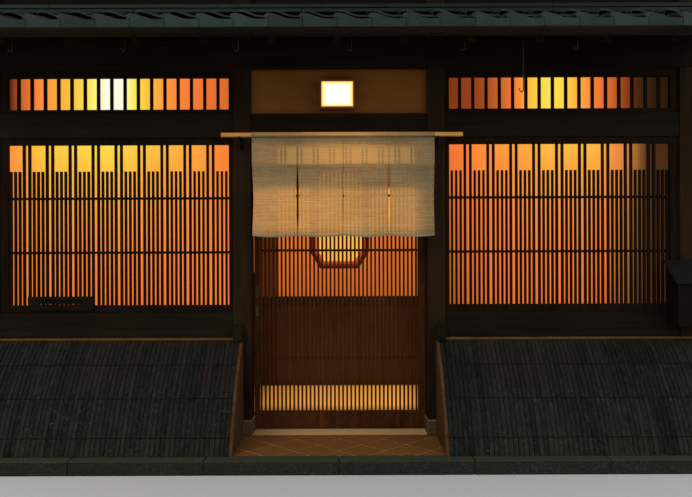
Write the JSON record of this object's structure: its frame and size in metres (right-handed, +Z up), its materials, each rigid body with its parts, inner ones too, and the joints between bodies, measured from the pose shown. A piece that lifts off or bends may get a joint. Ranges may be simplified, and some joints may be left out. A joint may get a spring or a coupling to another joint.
{
  "type": "machiya townhouse",
  "caption": "Two-storey timber townhouse for a row, with cut-top lattice windows, a sliding lattice door, curved bamboo fences, a noren, pent roofs and a gabled tile roof.",
  "frame": {"origin": "on the ground at the middle of the plan", "axes": "+X along the street to the right as seen from it, +Y into the house, +Z up; the street front faces -Y"},
  "size_m": [5.665, 9.5106, 7.3728],
  "materials": {
    "granite": "rough dressed granite",
    "paving": "dark square tiles laid on the diagonal, pale joints",
    "floor": "smooth dark floor",
    "dark_timber": "stained nearly black, matt",
    "lattice_timber": "stained dark brown, matt",
    "door_timber": "stained brown, satin",
    "rafter_timber": "weathered brown, matt",
    "paper": "lit from behind, warm",
    "plaster": "ochre clay plaster, fine sand",
    "party_plaster": "plain pale clay plaster",
    "weathered_bamboo": "grey weathered split bamboo",
    "fresh_bamboo": "tan bamboo, satin",
    "roof_tile": "smoked grey clay, slight sheen",
    "copper": "brown copper, dull",
    "iron": "black iron",
    "lock_metal": "worn",
    "linen": "thin pale linen, open weave",
    "lamp_glass": "glowing, frosted",
    "lamp_frame": "dark",
    "meter_metal": "dull brown",
    "inner_plaster": "warm plaster",
    "red_lacquer": "red lacquer"
  },
  "bodies": {
    "house": {"granite_kerb": "granite", "front_footings": "granite", "entrance_landing": "paving", "threshold_stone": "granite", "ground_floor": "floor", "door_track": "iron", "base_stones": "granite", "posts": "dark_timber", "wall_beams": "dark_timber", "long_beams": "dark_timber", "plaster_panels": "plaster", "left_window_lattice": "lattice_timber", "right_window_lattice": "lattice_timber", "transom_lattices": "lattice_timber", "paper_screens": "paper", "plain_window_lattices": "lattice_timber", "mail_slot": "dark_timber", "door_head": "dark_timber", "door_guides": "dark_timber", "door_jambs": "dark_timber", "left_inuyarai": "weathered_bamboo", "right_inuyarai": "weathered_bamboo", "inuyarai_ends": "rafter_timber", "bamboo_strips": "fresh_bamboo", "inuyarai_end_blocks": "dark_timber", "rafters": "rafter_timber", "roof_boards": "rafter_timber", "verge_boards": "dark_timber", "pent_tiles": "roof_tile", "pent_ridge": "roof_tile", "purlins": "rafter_timber", "gutters": "copper", "gutter_brackets": "iron", "eave_hooks": "iron", "upper_floor": "rafter_timber", "rear_door": "door_timber", "party_walls": "party_plaster", "main_tiles": "roof_tile", "main_ridge": "roof_tile", "ridge_ends": "roof_tile", "wall_lamp": "lamp_frame", "wall_lamp_glass": "lamp_glass", "meter_box": "meter_metal", "meter_box_lid": "meter_metal", "noren_pole": "fresh_bamboo", "noren_brackets": "iron", "noren": "linen", "inner_wall": "inner_plaster", "inner_window_frame": "red_lacquer", "inner_window_screen": "paper"},
    "door": {"door_stiles": "door_timber", "door_rails": "door_timber", "door_lattice": "door_timber", "door_locks": "lock_metal"}
  },
  "joints": [
    {"name": "door_slide", "type": "slide", "parent": "house", "child": "door", "axis": [1, 0, 0], "range_m": [0, 1.2]}
  ]
}
